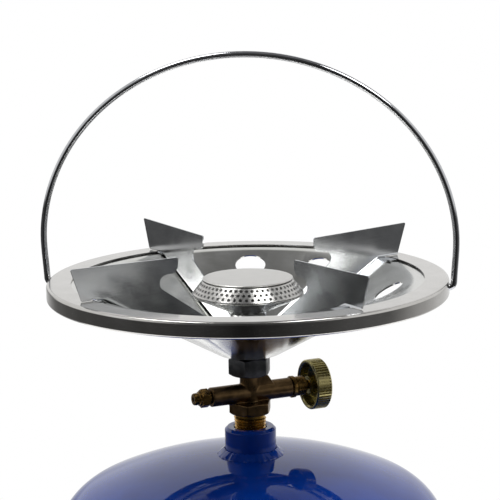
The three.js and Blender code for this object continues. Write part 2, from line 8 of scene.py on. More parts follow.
# %% Open the measured frame
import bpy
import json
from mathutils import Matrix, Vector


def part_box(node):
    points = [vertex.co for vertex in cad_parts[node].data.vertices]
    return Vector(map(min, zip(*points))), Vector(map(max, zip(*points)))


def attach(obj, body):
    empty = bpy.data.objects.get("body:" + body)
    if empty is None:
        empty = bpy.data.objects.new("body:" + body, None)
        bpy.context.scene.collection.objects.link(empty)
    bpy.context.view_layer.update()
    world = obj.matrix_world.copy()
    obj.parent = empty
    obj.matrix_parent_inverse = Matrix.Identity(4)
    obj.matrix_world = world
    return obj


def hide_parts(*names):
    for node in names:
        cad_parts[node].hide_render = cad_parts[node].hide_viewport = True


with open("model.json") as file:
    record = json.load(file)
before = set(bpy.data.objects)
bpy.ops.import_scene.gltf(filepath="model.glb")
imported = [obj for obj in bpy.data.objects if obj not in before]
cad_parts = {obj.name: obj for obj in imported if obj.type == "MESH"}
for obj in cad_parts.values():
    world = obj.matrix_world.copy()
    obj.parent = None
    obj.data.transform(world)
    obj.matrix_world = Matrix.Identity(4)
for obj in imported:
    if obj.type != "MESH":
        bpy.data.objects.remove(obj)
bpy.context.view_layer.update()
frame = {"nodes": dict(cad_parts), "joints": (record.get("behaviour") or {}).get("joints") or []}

# %% [markdown]
# Blender works in metres, and a workshop drawing in millimetres, so one constant turns one into the other.
# Heights on the dish, the burner and the valve are counted from the top of the dish's rim, and heights
# on the bottle from the floor.

# %% Units and datum
import json
import math

import bpy
from mathutils import Matrix, Vector

MM = 0.001
GAP = 0.3
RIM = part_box("rim_ring")[1].z / MM
BOTTLE_TOP = 225
print("the rim's top is", round(RIM, 1), "mm above the floor")

# %% [markdown]
# ## Helpers for shaping
# An operator works on whatever is selected, and the frame's own pieces are selected after loading. So
# every shape starts by deselecting everything. A finished piece keeps its place in its mesh.

# %% Starting and keeping a piece
def start():
    bpy.ops.object.select_all(action="DESELECT")


def keep(name):
    """Names the active object and moves its place, turn and size into its mesh."""
    piece = bpy.context.object
    piece.name = piece.data.name = name
    bpy.ops.object.transform_apply(location=True, rotation=True, scale=True)
    return piece


def make_active(piece):
    start()
    piece.select_set(True)
    bpy.context.view_layer.objects.active = piece


def placed(piece, matrix):
    """Moves a piece that was made about the Z axis to its place."""
    make_active(piece)
    piece.matrix_world = matrix
    return keep(piece.name)


# %% [markdown]
# Most pieces are round, as on a lathe or a spinning chuck. The half section is drawn as a line of
# vertices: a small plane is merged to one vertex, which is extruded from corner to corner. Spinning
# that line once round Z gives the body. An outline that starts on the axis closes itself there, and
# one that starts away from it is joined back to its first corner.

# %% Drawing an outline and spinning it
def drawn(name, points):
    start()
    x, z = points[0]
    bpy.ops.mesh.primitive_plane_add(size=MM, location=(x * MM, 0, z * MM))
    piece = keep(name)
    bpy.ops.object.mode_set(mode="EDIT")
    bpy.ops.mesh.merge(type="CENTER")
    for next_x, next_z in points[1:]:
        step = ((next_x - x) * MM, 0, (next_z - z) * MM)
        bpy.ops.mesh.extrude_region_move(TRANSFORM_OT_translate={"value": step})
        x, z = next_x, next_z
    return piece


def tidy_mesh():
    """Merges doubles and turns the faces outwards, in edit mode."""
    bpy.ops.mesh.select_all(action="SELECT")
    bpy.ops.mesh.remove_doubles(threshold=0.003 * MM)
    bpy.ops.mesh.normals_make_consistent(inside=False)
    bpy.ops.object.mode_set(mode="OBJECT")


def turned(name, points, segments=96):
    ring = points[0][0] > 0
    piece = drawn(name, points + points[:1] if ring else points)
    bpy.ops.mesh.select_all(action="SELECT")
    bpy.ops.mesh.spin(steps=segments, angle=2 * math.pi, center=(0, 0, 0), axis=(0, 0, 1))
    tidy_mesh()
    return piece


# %% [markdown]
# No real edge is perfectly sharp, and the small round on it is what catches the light. So corners of an
# outline are rounded before it is spun. Pressed sheet is drawn as the line of one face, which is then
# offset by the sheet's thickness.

# %% Rounding corners, and sheet from a line
def rounded(points, radius=0.25, steps=3, loop=None):
    """Rounds each corner that turns by more than 20 degrees."""
    loop = points[0][0] > 0 if loop is None else loop
    line = [Vector(p) for p in points]
    out = []
    for i, here in enumerate(line):
        if not loop and i in (0, len(line) - 1):
            out.append(tuple(here))
            continue
        before, after = line[i - 1] - here, line[(i + 1) % len(line)] - here
        turn = math.pi - before.angle(after)
        if turn < math.radians(20):
            out.append(tuple(here))
            continue
        reach = min(radius * math.tan(turn / 2), 0.45 * before.length, 0.45 * after.length)
        a, b = here + before.normalized() * reach, here + after.normalized() * reach
        for k in range(steps + 1):
            t = k / steps
            out.append(tuple(a * (1 - t) ** 2 + here * 2 * t * (1 - t) + b * t * t))
    return out


def offset(points, distance):
    """Moves an open line to its left."""
    line = [Vector(p) for p in points]
    out = []
    for i, here in enumerate(line):
        into = (here - line[i - 1]).normalized() if i else None
        onward = (line[i + 1] - here).normalized() if i < len(line) - 1 else None
        first, last = into or onward, onward or into
        middle = (first + last).normalized()
        reach = distance / middle.dot(first)
        out.append((here.x - middle.y * reach, here.y + middle.x * reach))
    return out


def sheet(points, thickness, bend=1.5):
    """The closed outline of a sheet whose right-hand face follows the line."""
    face = rounded(points, bend, 5, loop=False)
    return face + offset(face, thickness)[::-1]


# %% [markdown]
# Holes are cut and parts are joined with a Boolean modifier, applied at once. A row of equal holes needs
# only one cutter, which Spin copies round the axis in one go.

# %% Cutting, joining and copying round
def combine(piece, tool, operation="DIFFERENCE", solver="MANIFOLD"):
    make_active(piece)
    bpy.ops.object.modifier_add(type="BOOLEAN")
    modifier = piece.modifiers[-1]
    modifier.operation = operation
    modifier.object = tool
    modifier.solver = solver
    bpy.ops.object.modifier_apply(modifier=modifier.name)
    bpy.data.objects.remove(tool)
    return piece


def cylinder(radius, bottom, top, vertices=32, name="cutter"):
    start()
    bpy.ops.mesh.primitive_cylinder_add(vertices=vertices, radius=radius * MM, depth=(top - bottom) * MM,
                                        location=(0, 0, (top + bottom) / 2 * MM))
    return keep(name)


def copied_round(piece, count, spacing):
    """Adds copies of a piece about Z, each turned by the spacing in degrees from the last."""
    make_active(piece)
    bpy.ops.object.mode_set(mode="EDIT")
    bpy.ops.mesh.select_all(action="SELECT")
    bpy.ops.mesh.spin(steps=count - 1, dupli=True, angle=math.radians(spacing * (count - 1)),
                      center=(0, 0, 0), axis=(0, 0, 1))
    bpy.ops.mesh.select_all(action="SELECT")
    bpy.ops.mesh.normals_make_consistent(inside=False)
    bpy.ops.object.mode_set(mode="OBJECT")
    return piece


def plate(name, outline, bottom, top):
    """A flat blank: a disc with a vertex for each corner, laid out and then raised."""
    start()
    bpy.ops.mesh.primitive_circle_add(vertices=len(outline), radius=MM, fill_type="NGON")
    piece = keep(name)
    for vertex, (x, y) in zip(piece.data.vertices, outline):
        vertex.co = (x * MM, y * MM, bottom * MM)
    bpy.ops.object.mode_set(mode="EDIT")
    bpy.ops.mesh.select_all(action="SELECT")
    bpy.ops.mesh.extrude_region_move(TRANSFORM_OT_translate={"value": (0, 0, (top - bottom) * MM)})
    tidy_mesh()
    return piece


def box_outline(x0, x1, y0, y1, corner=0.3):
    return rounded([(x0, y0), (x1, y0), (x1, y1), (x0, y1)], corner, 3, loop=True)


# %% [markdown]
# A finished piece is shaded smooth up to its real edges, rides on a body of the frame, stands for its CAD
# node and wears a finish. Its material is added later, by name.

# %% Handing a piece over
wears = {}


def hand_over(piece, node, body, finish, angle=32):
    make_active(piece)
    bpy.ops.object.shade_smooth_by_angle(angle=math.radians(angle))
    piece.name = piece.data.name = node + "_formed"
    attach(piece, body)
    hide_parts(node)
    wears[piece.name] = finish
    print(piece.name, len(piece.data.polygons), "faces on", body)
    return piece


def turn_about_z(degrees):
    return Matrix.Rotation(math.radians(degrees), 4, "Z")


def up(height):
    return Matrix.Translation((0, 0, height * MM))


# %% [markdown]
# ## The gas bottle
# A small bottle is two deep-drawn steel cups, welded round the middle. Each end is a flat crown that
# turns into the wall through a tighter knuckle. Both arcs are drawn as a line and spun as sheet.

# %% The two shells
BOTTLE_RADIUS = 115
BOTTLE_WALL = 2.3
CROWN = 230
KNUCKLE = 36
LOWER_HEAD_CLEARANCE = 18
GIRTH = 121
BOSS_RADIUS = 14.9
BOTTLE_FACETS = 192


def arc(cx, cz, radius, first, last, steps):
    angles = [math.radians(first + (last - first) * k / steps) for k in range(steps + 1)]
    return [(cx + radius * math.cos(a), cz + radius * math.sin(a)) for a in angles]


def head(top, from_radius):
    meeting = math.degrees(math.asin((BOTTLE_RADIUS - KNUCKLE) / (CROWN - KNUCKLE)))
    first = 90 - math.degrees(math.asin(from_radius / CROWN))
    centre = top - CROWN
    knuckle_z = centre + (CROWN - KNUCKLE) * math.cos(math.radians(meeting))
    return (arc(0, centre, CROWN, first, 90 - meeting, 14)
            + arc(BOTTLE_RADIUS - KNUCKLE, knuckle_z, KNUCKLE, 90 - meeting, 0, 14)[1:])


def head_drop(radius):
    return CROWN - math.sqrt(CROWN ** 2 - radius ** 2)


upper_line = head(BOTTLE_TOP, BOSS_RADIUS - 2.4) + [(BOTTLE_RADIUS, GIRTH + 1.5)]
upper_line.reverse()
upper_shell = turned("upper", upper_line + offset(upper_line, BOTTLE_WALL)[::-1], BOTTLE_FACETS)
hand_over(upper_shell, "bottle_upper_shell", "stand", "enamel")

joggle = BOTTLE_RADIUS - BOTTLE_WALL - GAP
lower_line = [(r, -z) for r, z in head(-LOWER_HEAD_CLEARANCE, 0)]
lower_line += [(BOTTLE_RADIUS, GIRTH - 3), (joggle, GIRTH), (joggle, GIRTH + 9)]
lower_inside = offset(lower_line, BOTTLE_WALL)[::-1]
lower_inside[-1] = (0, lower_inside[-1][1])
lower_line[0] = (0, lower_line[0][1])
lower_shell = turned("lower", lower_line + lower_inside, BOTTLE_FACETS)
hand_over(lower_shell, "bottle_lower_shell", "stand", "enamel")

# %% [markdown]
# A weld bead is a row of small frozen waves. The bead is spun with many facets, and every few facets one
# ring of vertices is swollen a little, which gives the scales of the bead. A cloudy Displace modifier
# then takes away the evenness that no hand or machine really has.

# %% Weld beads
def bead(name, points, ripples, unevenness, lump):
    """A spun bead with waves along it, each six facets long, and a cloudy unevenness on top."""
    facets = ripples * 6
    piece = turned(name, rounded(points, 0.8, 3), facets)
    middle = Vector((sum(p[0] for p in points), sum(p[1] for p in points))) / len(points) * MM
    for vertex in piece.data.vertices:
        angle = math.atan2(vertex.co.y, vertex.co.x)
        radius = math.hypot(vertex.co.x, vertex.co.y)
        swell = 1 + 0.16 * abs(math.sin(angle * ripples / 2))
        radius = middle.x + (radius - middle.x) * swell
        vertex.co = (radius * math.cos(angle), radius * math.sin(angle),
                     middle.y + (vertex.co.z - middle.y) * swell)
    make_active(piece)
    cloud = bpy.data.textures.new(name + "_cloud", type="CLOUDS")
    cloud.noise_scale = lump * MM
    bpy.ops.object.modifier_add(type="DISPLACE")
    modifier = piece.modifiers[-1]
    modifier.texture = cloud
    modifier.texture_coords = "GLOBAL"
    modifier.strength = unevenness * MM
    bpy.ops.object.modifier_apply(modifier=modifier.name)
    return piece


root = BOTTLE_RADIUS - BOTTLE_WALL + 0.6
girth_outline = [(root, GIRTH - 0.4), (BOTTLE_RADIUS + 0.2, GIRTH - 3), (BOTTLE_RADIUS + 1.0, GIRTH - 1.5),
                 (BOTTLE_RADIUS + 1.2, GIRTH + 0.4), (BOTTLE_RADIUS + 0.2, GIRTH + 2.2), (root, GIRTH + 1.2)]
girth = bead("girth", girth_outline, 240, 0.3, 4)
hand_over(girth, "bottle_girth_weld", "stand", "enamel", 60)

FOOT_RADIUS = 90


def under_head(radius):
    return LOWER_HEAD_CLEARANCE + head_drop(radius) - GAP


foot_weld = bead("foot_weld", [(FOOT_RADIUS + GAP, under_head(FOOT_RADIUS) - 3.4),
                               (FOOT_RADIUS + 1.6, under_head(FOOT_RADIUS) - 1.9),
                               (FOOT_RADIUS + 3.2, under_head(FOOT_RADIUS + 3.2) - 0.2),
                               (FOOT_RADIUS + GAP, under_head(FOOT_RADIUS) - 0.2)], 190, 0.35, 5)
hand_over(foot_weld, "bottle_foot_weld", "stand", "enamel", 60)


def on_head(radius):
    return BOTTLE_TOP - head_drop(radius) + GAP


neck_inner = BOSS_RADIUS + GAP
neck_weld = bead("neck_weld", [(neck_inner, on_head(neck_inner) - 0.2), (19.4, on_head(19.4) - 0.25),
                               (18.5, on_head(18.5) + 0.6), (16.8, on_head(16.8) + 1.9),
                               (neck_inner, on_head(neck_inner) + 3.3)], 34, 1.1, 5)
hand_over(neck_weld, "bottle_neck_weld", "stand", "enamel", 60)

# %% [markdown]
# The bottle stands on a ring with its lower edge rolled inwards, with three drain holes through it. The
# boss at the top is a turned ring that takes the valve's tapered thread.

# %% Foot ring and boss
FOOT_LIP = 6
foot_inner = FOOT_RADIUS - BOTTLE_WALL
foot_outline = rounded([(FOOT_RADIUS - FOOT_LIP, 0), (FOOT_RADIUS, 0), (FOOT_RADIUS, under_head(FOOT_RADIUS)),
                        (foot_inner, under_head(foot_inner)), (foot_inner, BOTTLE_WALL),
                        (FOOT_RADIUS - FOOT_LIP, BOTTLE_WALL)], 0.9, 4)
foot_ring = turned("foot_ring", foot_outline, BOTTLE_FACETS)
drain = placed(cylinder(7, 80, 100, 48), turn_about_z(60) @ up(20) @ Matrix.Rotation(math.pi / 2, 4, "Y"))
combine(foot_ring, copied_round(drain, 3, 120))
hand_over(foot_ring, "bottle_foot_ring", "stand", "enamel")

THREAD_TOP_RADIUS = 9.55
THREAD_TAPER = 0.06
BLOCK = (-80, -73)
boss_bottom = BOTTLE_TOP + GAP
boss_top = boss_bottom + 15.5
boss_depth = boss_bottom - 4


def bore(height):
    return THREAD_TOP_RADIUS + GAP - (RIM + BLOCK[0] - height) * THREAD_TAPER


boss_skirt = BOSS_RADIUS - 2.7
boss_outline = [(bore(boss_depth), boss_depth), (boss_skirt, boss_depth), (boss_skirt, boss_bottom),
                (BOSS_RADIUS, boss_bottom), (BOSS_RADIUS, boss_top - 1.6), (BOSS_RADIUS - 1.6, boss_top),
                (bore(boss_top) + 0.8, boss_top), (bore(boss_top), boss_top - 0.8)]
boss = turned("boss", rounded(boss_outline, 0.6, 4), 128)
hand_over(boss, "bottle_neck_boss", "stand", "enamel")

# %% [markdown]
# ## The dish
# The dish is two pressings: a shallow bowl and a rim ring folded over its edge. Both are drawn as the
# line of their upper or outer face. Cutters for the round vents stand square to the slope of the bowl.

# %% The bowl
DISH_FACETS = 192
THIN = 0.8
RIM_RADIUS = 115
RIM_SHEET = 1.0
FLANGE = -1.3
BOWL_EDGE = 93.5
SEAT_RADIUS = 17
SEAT = -43.9
SPIGOT = 7.8
VENT_RADIUS = 9.2
VENT_CIRCLE = 80.5
VENT_AZIMUTHS = (6.8, 66.8)
SUPPORT_AZIMUTH = 41.7
bowl_slope = (FLANGE - 0.9 - SEAT) / (BOWL_EDGE - 1 - SEAT_RADIUS)


def bowl_height(radius):
    return min(SEAT + max(radius - SEAT_RADIUS, 0) * bowl_slope, FLANGE)


bowl_line = [(RIM_RADIUS - RIM_SHEET - 0.7, FLANGE), (BOWL_EDGE + 1.8, FLANGE), (BOWL_EDGE - 1, FLANGE - 0.9),
             (SEAT_RADIUS, SEAT), (SPIGOT + 0.4, SEAT)]
bowl = turned("bowl", sheet(bowl_line, THIN, 3.2), DISH_FACETS)
lean = Matrix.Rotation(-math.atan(bowl_slope), 4, "Y")
vent_place = Matrix.Translation((VENT_CIRCLE * MM, 0, bowl_height(VENT_CIRCLE) * MM)) @ lean
for azimuth in VENT_AZIMUTHS:
    vent = placed(cylinder(VENT_RADIUS, -9, 9, 64), turn_about_z(azimuth) @ vent_place)
    combine(bowl, copied_round(vent, 4, 90))
slot_cutter = placed(plate("slot", box_outline(98, 100.9, -12, 7, 1.2), -6, 4), turn_about_z(SUPPORT_AZIMUTH))
combine(bowl, copied_round(slot_cutter, 4, 90))
placed(bowl, up(RIM))
hand_over(bowl, "burner_bowl", "stand", "spun_steel")

# %% [markdown]
# The rim ring has a skirt with a curled lower edge. The bail's wire passes through it, and four pairs of
# small punch marks hold it to the bowl.

# %% The rim ring
skirt_bottom = -9.3
WIRE = 1.85
PIVOT = -4.6
ring_line = [(RIM_RADIUS - 2.6, skirt_bottom), (RIM_RADIUS - 0.9, skirt_bottom),
             (RIM_RADIUS, skirt_bottom + 1), (RIM_RADIUS, -1.6), (RIM_RADIUS - 0.45, -0.45),
             (RIM_RADIUS - 1.6, 0), (101, 0)]
rim_ring = turned("rim", sheet(ring_line, RIM_SHEET, 0.9), DISH_FACETS)
pivot_cutter = placed(cylinder(WIRE + 0.4, -120, 120, 32), up(PIVOT) @ Matrix.Rotation(math.pi / 2, 4, "Y"))
combine(rim_ring, pivot_cutter)
for side in (-4.4, 4.4):
    start()
    bpy.ops.mesh.primitive_cone_add(vertices=20, radius1=0.8 * MM, radius2=2.2 * MM, depth=2.5 * MM,
                                    location=(105 * MM, side * MM, 0.65 * MM))
    mark = placed(keep("mark"), turn_about_z(6.5))
    combine(rim_ring, copied_round(mark, 4, 90))
placed(rim_ring, up(RIM))
hand_over(rim_ring, "rim_ring", "stand", "rim_steel")

# %% [markdown]
# ## The pan supports
# Each support is one strip of sheet with a wing at both ends. A wing stands upright, and just above the
# bowl the sheet is folded aside into a foot whose toe rests on the bowl. The foot follows the bowl's
# slope, so the section climbs along the wing. A flat grid is laid over these sections, Solidify gives
# it its thickness, and a blank of the wing's side view trims it.

# %% The folded strip
BEND = 2
FOLD_RISE = 2.4
TOE = 9.1


def toe_height(x, hub):
    on_bowl = bowl_height(math.hypot(x, TOE + 1)) + 0.5
    return on_bowl if x >= 24 else hub + (on_bowl - hub) * (x - 12) / 12


def fold_section(toe):
    """Points across the sheet, from its toe up to above the wing."""
    fold, aside = toe + FOLD_RISE, TOE - BEND
    angle = math.atan2(aside, FOLD_RISE) + math.asin(BEND / math.hypot(aside, FOLD_RISE))
    bend = [(-BEND + BEND * math.cos(a), fold + BEND * math.sin(a))
            for a in (-angle * (1 - k / 10) for k in range(11))]
    foot = Vector((-TOE, toe))
    straight = [tuple(foot.lerp(Vector(bend[0]), k / 4)) for k in range(4)]
    return straight + bend + [(0, fold + (26 - fold) * k / 4) for k in range(1, 5)]


def folded_strip(hub):
    stations = [12 + 2 * k for k in range(53)]
    across = len(fold_section(0))
    start()
    bpy.ops.mesh.primitive_grid_add(x_subdivisions=len(stations) - 1, y_subdivisions=across - 1, size=0.1)
    strip = keep("strip")
    for row in range(across):
        for column, x in enumerate(stations):
            y, z = fold_section(toe_height(x, hub))[row]
            strip.data.vertices[row * len(stations) + column].co = (x * MM, y * MM, z * MM)
    bpy.ops.object.mode_set(mode="EDIT")
    tidy_mesh()
    bpy.ops.object.modifier_add(type="SOLIDIFY")
    strip.modifiers[-1].thickness = THIN * MM
    strip.modifiers[-1].offset = 0
    strip.modifiers[-1].use_even_offset = True
    bpy.ops.object.modifier_apply(modifier=strip.modifiers[-1].name)
    print("folded strip", len(strip.data.polygons), "faces")
    return strip


# %% [markdown]
# The side view has a sloping top edge for the pan, a rounded nose and a notch over the burner. Its foot
# rests on the bowl's flange, and a tab goes down through the slot and hooks under it.

# %% Wings, feet and hub plates
SIDE_VIEW = rounded([(114.8, 19), (46.8, 17.4)] + arc(51.4, 13.2, 4.6, 180, 270, 8)
                    + arc(54.4, 4, 4.6, 90, -45, 10) + [(30, -18.4), (13.4, -29.4), (13.4, -50), (97.7, -50),
                                                        (97.7, GAP), (108.5, GAP)], 1.0, 4, loop=True)


def block(name, x, y, z, corner=0.25):
    return plate(name, box_outline(*x, *y, corner), *z)


def support(node, hub, azimuth, finish):
    wing = folded_strip(hub)
    trimmer = placed(plate("trimmer", SIDE_VIEW, -20, 20), Matrix.Rotation(math.pi / 2, 4, "X"))
    combine(wing, trimmer, "INTERSECT")
    width = (-11, 0.4)
    foot = (FLANGE + GAP, FLANGE + GAP + THIN)
    hook = (FLANGE - 2 * THIN - 0.5, FLANGE - THIN - 0.5)
    combine(wing, block("foot", (BOWL_EDGE + 1, 99.8), width, foot), "UNION")
    combine(wing, block("tab", (99, 99.8), (-10.9, 0.3), (hook[0] + 0.1, foot[1] - 0.1), 0.1), "UNION")
    combine(wing, block("hook", (99.1, 105), width, hook), "UNION")
    make_active(wing)
    bpy.ops.object.duplicate(linked=False)
    combine(wing, placed(bpy.context.object, turn_about_z(180)), "UNION")
    combine(wing, block("hub", (-16, 16), (-9.4, 9.4), (hub - 0.2, hub + THIN), 1.5), "UNION")
    combine(wing, cylinder(SPIGOT + 0.4, hub - 5, hub + 5, 48))
    placed(wing, up(RIM) @ turn_about_z(azimuth))
    return hand_over(wing, node, "stand", finish, 25)


support("pan_support_a", -42.3, SUPPORT_AZIMUTH, "rolled_steel_a")
support("pan_support_b", -41, SUPPORT_AZIMUTH - 90, "rolled_steel_b")

# %% [markdown]
# ## The burner
# Gas and air rise through the mixer tube into a cup. A coned band with three staggered rows of small
# ports closes the cup, and a flat cap lies on top. The flames stand on the band.

# %% Mixer tube and cup
NUT = (-57, -46.5)
NUT_SHOULDER = NUT[0] + 5.4
COLLAR = (-39.9, -37.8)
TUBE = 9.5
CUP = 32.3
CAP = 25.9
tube_outline = [(5, NUT_SHOULDER + 0.1), (SPIGOT, NUT_SHOULDER + 0.1), (SPIGOT, COLLAR[0]), (12.4, COLLAR[0]),
                (12.4, COLLAR[1]), (TUBE, COLLAR[1]), (TUBE, -18), (TUBE - 1.4, -18), (TUBE - 1.4, COLLAR[1]),
                (5, COLLAR[0])]
tube = turned("tube", rounded(tube_outline, 0.3, 3), 96)
air_hole = placed(cylinder(3.2, 4, 14, 32), up(-33) @ Matrix.Rotation(math.pi / 2, 4, "Y"))
combine(tube, copied_round(air_hole, 4, 90))
placed(tube, up(RIM))
hand_over(tube, "mixer_tube", "stand", "drawn_tube")

neck = TUBE + GAP + THIN
cup_line = [(neck, -24), (neck, -20), (CUP - 3, -11.2), (CUP, -9.6), (CUP, -8.9)]
cup = turned("cup", rounded(sheet(cup_line, THIN, 1.2), 0.25, 2), 160)
placed(cup, up(RIM))
hand_over(cup, "burner_cup", "stand", "cup_steel")

# %% [markdown]
# One port is a small cylinder that stands square to the band. Spin copies it round the band, and the
# middle row is turned by half a step, so that the rows are staggered.

# %% Flame band and cap
PORTS = 56
PORT_RADIUS = 0.95
BAND_SHEET = 0.7
foot_of_band = Vector((CUP - 0.5, -8.5))
shoulder_of_band = Vector((CAP, -1.2))
band_line = [tuple(foot_of_band), tuple(shoulder_of_band), (CAP - 4, -1.2)]
band = turned("band", sheet(band_line, BAND_SHEET, 0.7), PORTS * 4)
slope_of_band = shoulder_of_band - foot_of_band
lean_of_band = math.atan2(-slope_of_band.x, slope_of_band.y)
for row, along in enumerate((0.2, 0.5, 0.8)):
    at = foot_of_band + slope_of_band * along
    place = (turn_about_z(180 / PORTS * (row % 2)) @ Matrix.Translation((at.x * MM, 0, at.y * MM))
             @ Matrix.Rotation(math.pi / 2 - lean_of_band, 4, "Y"))
    port = placed(cylinder(PORT_RADIUS, -2, 2, 12), place)
    combine(band, copied_round(port, PORTS, 360 / PORTS))
placed(band, up(RIM))
hand_over(band, "flame_band", "stand", "band_steel")

cap_outline = [(0, -0.9), (CAP - 0.4, -0.9), (CAP, -0.5), (CAP, -0.25), (CAP - 0.5, 0.1), (0, 0.1)]
cap = turned("cap", rounded(cap_outline, 0.3, 3), 160)
placed(cap, up(RIM))
hand_over(cap, "burner_cap", "stand", "satin_cap")

# %% [markdown]
# A hexagon nut starts as a six-sided cylinder. Turning chamfers its corners, which is an intersection
# with a double cone, and Bevel takes the sharpness off all its edges.

# %% Burner nut and tab washer
def hexagon(flats, bottom, top, turn=0, chamfers=(0.9, 0.9)):
    """A hexagon bar about Z with a flat that faces +Y, chamfered like a nut."""
    across = flats / math.sqrt(3)
    bar = placed(cylinder(across, bottom, top, 6, "hexagon"), turn_about_z(30 + turn))
    low, high = chamfers
    cones = turned("cones", [(0, bottom), (flats / 2 - 0.2, bottom), (across + 0.3, bottom + low),
                             (across + 0.3, top - high), (flats / 2 - 0.2, top), (0, top)], 96)
    return combine(bar, cones, "INTERSECT")


def eased(piece, width, segments=2, angle=40):
    make_active(piece)
    bpy.ops.object.modifier_add(type="BEVEL")
    modifier = piece.modifiers[-1]
    modifier.width = width * MM
    modifier.segments = segments
    modifier.limit_method = "ANGLE"
    modifier.angle_limit = math.radians(angle)
    modifier.harden_normals = False
    bpy.ops.object.modifier_apply(modifier=modifier.name)
    return piece


STEM = 5.7
STEM_TOP = -53.3
nut = eased(hexagon(22, *NUT, 27, (1.4, 1.0)), 0.25)
combine(nut, cylinder(STEM + GAP, NUT[0] - 1, NUT[1], 64))
combine(nut, cylinder(SPIGOT + GAP, NUT_SHOULDER - 0.2, NUT[1] + 1, 64))
placed(nut, up(RIM))
hand_over(nut, "burner_nut", "stand", "dulled_zinc")

washer_bottom = NUT[1] + GAP
washer_top = washer_bottom + THIN
washer_outline = [(SPIGOT + GAP, washer_bottom), (10.6, washer_bottom), (10.6, washer_top),
                  (SPIGOT + GAP, washer_top)]
washer = turned("washer", rounded(washer_outline, 0.2), 96)
ear = placed(block("ear", (9, 14.6), (-3.5, 3.5), (washer_bottom + 0.02, washer_bottom + THIN - 0.02), 1.2),
             turn_about_z(8))
combine(washer, ear, "UNION")
placed(washer, up(RIM))
hand_over(washer, "tab_washer", "stand", "black_steel")

# %% [markdown]
# ## The valve
# The valve is forged brass: an upright stem, a barrel across it, a small web between them and a hexagon
# foot over a tapered thread. Only the faces that seal or screw are machined. The parts are put together
# roughly, and Remesh and Smooth melt them into one forging with soft inner corners.

# %% Where the valve stands
knob_turn = next(joint for joint in frame["joints"] if joint["name"] == "knob_turn")
barrel_axis = Vector(knob_turn["axis"])
VALVE_TURN = math.degrees(math.atan2(barrel_axis.y, barrel_axis.x))
BARREL_HEIGHT = knob_turn["pos_m"][2] / MM - RIM
ALONG = up(BARREL_HEIGHT) @ Matrix.Rotation(math.pi / 2, 4, "Y")
VALVE = up(RIM) @ turn_about_z(VALVE_TURN)
print("valve turned", round(VALVE_TURN, 1), "degrees, barrel at", round(BARREL_HEIGHT, 1), "mm")

# %% [markdown]
# The rough forging is a hexagon, a stem, a web and a barrel that overlap. They are joined as one object,
# because Remesh wraps a single skin round all that it finds there.

# %% The forging
BARREL = 5.65
BARREL_ENDS = (-24.8, 25.6)
forging = hexagon(22.6, *BLOCK, 0, (1.6, 0.5))
web_side = [(0, -58), (10.2, -58), (13.4, -63), (13.4, -66), (0, -66)]
web = placed(plate("web", web_side, -4, 4), Matrix.Rotation(math.pi / 2, 4, "X"))
barrel = placed(turned("barrel", [(0, BARREL_ENDS[0]), (BARREL, BARREL_ENDS[0]), (BARREL, BARREL_ENDS[1]),
                                  (0, BARREL_ENDS[1])], 64), ALONG)
parts = [turned("stem", [(0, -74), (STEM, -74), (STEM, STEM_TOP), (0, STEM_TOP)], 64), web, barrel]
make_active(forging)
for part in parts:
    part.select_set(True)
bpy.ops.object.join()
bpy.ops.object.modifier_add(type="REMESH")
forging.modifiers[-1].mode = "VOXEL"
forging.modifiers[-1].voxel_size = 0.36 * MM
bpy.ops.object.modifier_apply(modifier=forging.modifiers[-1].name)
bpy.ops.object.modifier_add(type="SMOOTH")
forging.modifiers[-1].factor = 0.6
forging.modifiers[-1].iterations = 5
bpy.ops.object.modifier_apply(modifier=forging.modifiers[-1].name)
print("forging", len(forging.data.polygons), "faces")

# %% [markdown]
# The tapered gas thread has 14 turns to the inch. Its ridge is drawn once as a small closed section, the
# Screw modifier carries it down the plug, and then every vertex is drawn in towards the axis by the taper.

# %% Thread and bores
PITCH = 25.4 / 14
THREAD_LENGTH = 25
thread_start = BLOCK[0] + 0.5
crest = THREAD_TOP_RADIUS
RIDGE_FOOT = thread_start - 2.9
RIDGE_SECTION = ((-1.7, 0), (-0.85, 0.05), (0, 0.72), (0, 0.98), (-0.85, 1.65), (-1.7, 1.7), (-1.7, 0))
ridge = drawn("ridge", [(crest + inward, RIDGE_FOOT + height) for inward, height in RIDGE_SECTION])
bpy.ops.mesh.select_all(action="SELECT")
bpy.ops.mesh.remove_doubles(threshold=0.003 * MM)
bpy.ops.object.mode_set(mode="OBJECT")
bpy.ops.object.modifier_add(type="SCREW")
screw = ridge.modifiers[-1]
screw.screw_offset = -PITCH * MM
screw.iterations = 12
screw.steps = screw.render_steps = 48
bpy.ops.object.modifier_apply(modifier=screw.name)
bpy.ops.object.mode_set(mode="EDIT")
bpy.ops.mesh.select_all(action="SELECT")
bpy.ops.mesh.fill_holes(sides=0)
tidy_mesh()
for vertex in ridge.data.vertices:
    down = thread_start * MM - vertex.co.z
    shrink = 1 - THREAD_TAPER * down / math.hypot(vertex.co.x, vertex.co.y)
    vertex.co = (vertex.co.x * shrink, vertex.co.y * shrink, vertex.co.z)
core_top = crest - 0.9
thread_end = thread_start - THREAD_LENGTH
core = turned("core", [(0, thread_end), (core_top - THREAD_LENGTH * THREAD_TAPER - 0.8, thread_end),
                       (core_top - THREAD_LENGTH * THREAD_TAPER, thread_end + 0.8),
                       (core_top, thread_start - 1.2), (core_top, BLOCK[0] + 1.5), (0, BLOCK[0] + 1.5)], 96)
combine(core, ridge, "UNION")
combine(forging, core, "UNION")

